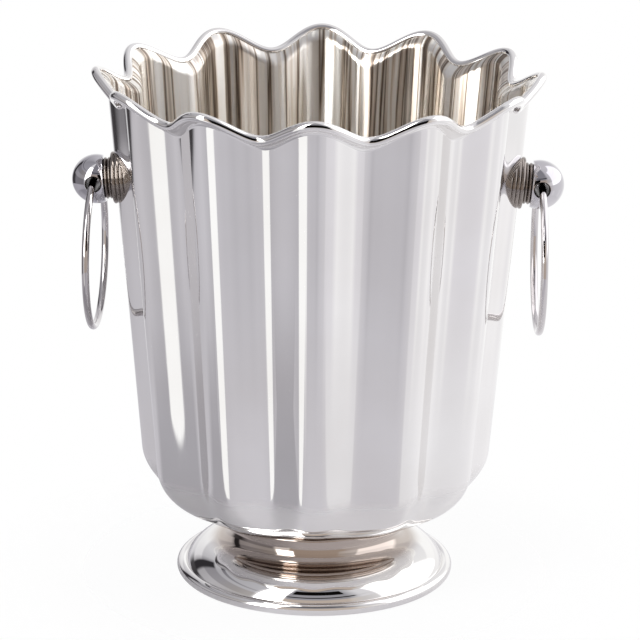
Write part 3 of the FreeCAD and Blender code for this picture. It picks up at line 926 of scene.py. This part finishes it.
def near_ground():
    """The ground round the table top, which only the silver sees. It fades outwards, except in front
    of the tall window card, where it ends on the card's straight foot: that line gives the white
    strips on the wall their pointed ends."""
    piece = disc("near_ground", (0.0, near_ground_start, near_ground_end), -near_ground_drop)
    only_for_silver(piece)
    material, tree = new_material("ground in front of the cards")
    along = place_apart(tree)
    share = azimuth_share(tree, along)
    greys = ramp(tree, share, by_azimuth(near_ground_greys))
    glow = add(tree, "ShaderNodeEmission", {"Color": greys}, {"Strength": cards_strength})
    values = {1: near_line_slope, 2: near_line_place}
    line = add(tree, "ShaderNodeMath", {0: along.outputs["X"]}, values, operation="MULTIPLY_ADD")
    before = add(tree, "ShaderNodeMath", {0: line.outputs[0], 1: along.outputs["Y"]}, operation="SUBTRACT")
    values = {"From Min": -near_line_softness, "From Max": near_line_softness}
    beyond = add(tree, "ShaderNodeMapRange", {"Value": before.outputs[0]}, values).outputs[0]
    left, right = (np.array(window_sides) + 180) / 360
    after_left = add(tree, "ShaderNodeMath", {0: share}, {1: left}, operation="GREATER_THAN")
    before_right = add(tree, "ShaderNodeMath", {0: share}, {1: right}, operation="LESS_THAN")
    links = {0: after_left.outputs[0], 1: before_right.outputs[0]}
    window = add(tree, "ShaderNodeMath", links, operation="MULTIPLY")
    fade = from_middle(tree, near_ground_start, near_ground_end)
    clear = add(tree, "ShaderNodeMix", {0: window.outputs[0], 2: fade, 3: beyond}).outputs[0]
    nothing = add(tree, "ShaderNodeBsdfTransparent")
    surface(tree, add(tree, "ShaderNodeMixShader", {0: clear, 1: glow.outputs[0], 2: nothing.outputs[0]}))
    set_up(piece, material)


def studio_cards():
    """A large sphere of soft reflector cards round the set, hidden from the camera. Its colour
    goes by the azimuth in belts by height, and the cards that are lamps glow more."""
    turn = np.linspace(0, full_turn, 64, endpoint=False)[None, :]
    tilt = np.linspace(-np.pi / 2, np.pi / 2, 33)[:, None]
    sphere = around(turn, cards_radius * np.cos(tilt), cards_radius * np.sin(tilt))
    piece = make_piece("studio_cards", sphere, rows_closed=False)
    piece.visible_camera = False
    material, tree = new_material("soft reflector cards")
    along = place_apart(tree)
    share = azimuth_share(tree, along)
    height = {"Value": along.outputs["Z"]}
    colour = ramp(tree, share, by_azimuth(deep_cards))
    for stops, elevations in card_belts:
        belt = ramp(tree, share, by_azimuth(stops))
        start, end = cards_radius * np.sin(np.radians(elevations))
        blend = add(tree, "ShaderNodeMapRange", height, {"From Min": start, "From Max": end}).outputs[0]
        colour = add(tree, "ShaderNodeMix", {0: blend, 6: colour, 7: belt}, data_type="RGBA").outputs[2]
    low, full, high, end = cards_radius * np.sin(np.radians(lamp_heights))
    rise = add(tree, "ShaderNodeMapRange", height, {"From Min": low, "From Max": full}).outputs[0]
    fall = add(tree, "ShaderNodeMapRange", height, {"From Min": end, "From Max": high}).outputs[0]
    lamp = add(tree, "ShaderNodeMath", {0: rise, 1: fall}, operation="MULTIPLY").outputs[0]
    bright_by = ramp(tree, share, by_azimuth(lamps))
    lamp = add(tree, "ShaderNodeMath", {0: lamp, 1: bright_by}, operation="MULTIPLY").outputs[0]
    values = {1: lamp_gain, 2: cards_strength}
    strength = add(tree, "ShaderNodeMath", {0: lamp}, values, operation="MULTIPLY_ADD").outputs[0]
    surface(tree, add(tree, "ShaderNodeEmission", {"Color": colour, "Strength": strength}))
    material.cycles.emission_sampling = "NONE"
    set_up(piece, material)


def front_card():
    """A curved black card in front of the mouth, which only the silver sees: it draws the black
    lines along the rim wire."""
    turn = np.linspace(*np.radians(front_card_sides), 24)[None, :]
    height = np.array(front_card_heights)[:, None]
    sheet = around(turn, front_card_radius, height)
    piece = make_piece("front_card", sheet, rows_closed=False, columns_closed=False)
    only_for_silver(piece)
    material, tree = new_material("black card")
    values = {"Color": linear(black_card_colour), "Strength": 1.0}
    surface(tree, add(tree, "ShaderNodeEmission", values=values))
    set_up(piece, material)


def studio_world():
    """A plain white room."""
    world = bpy.data.worlds.new("studio")
    bpy.context.scene.world = world
    world.use_nodes = True
    world.node_tree.nodes.clear()
    values = {"Color": linear(plain_white), "Strength": 1.0}
    white = add(world.node_tree, "ShaderNodeBackground", values=values)
    add(world.node_tree, "ShaderNodeOutputWorld", {"Surface": white.outputs[0]})


place_camera()
table_top()
near_ground()
studio_cards()
front_card()
studio_world()
bpy.context.scene.view_settings.view_transform = "Standard"
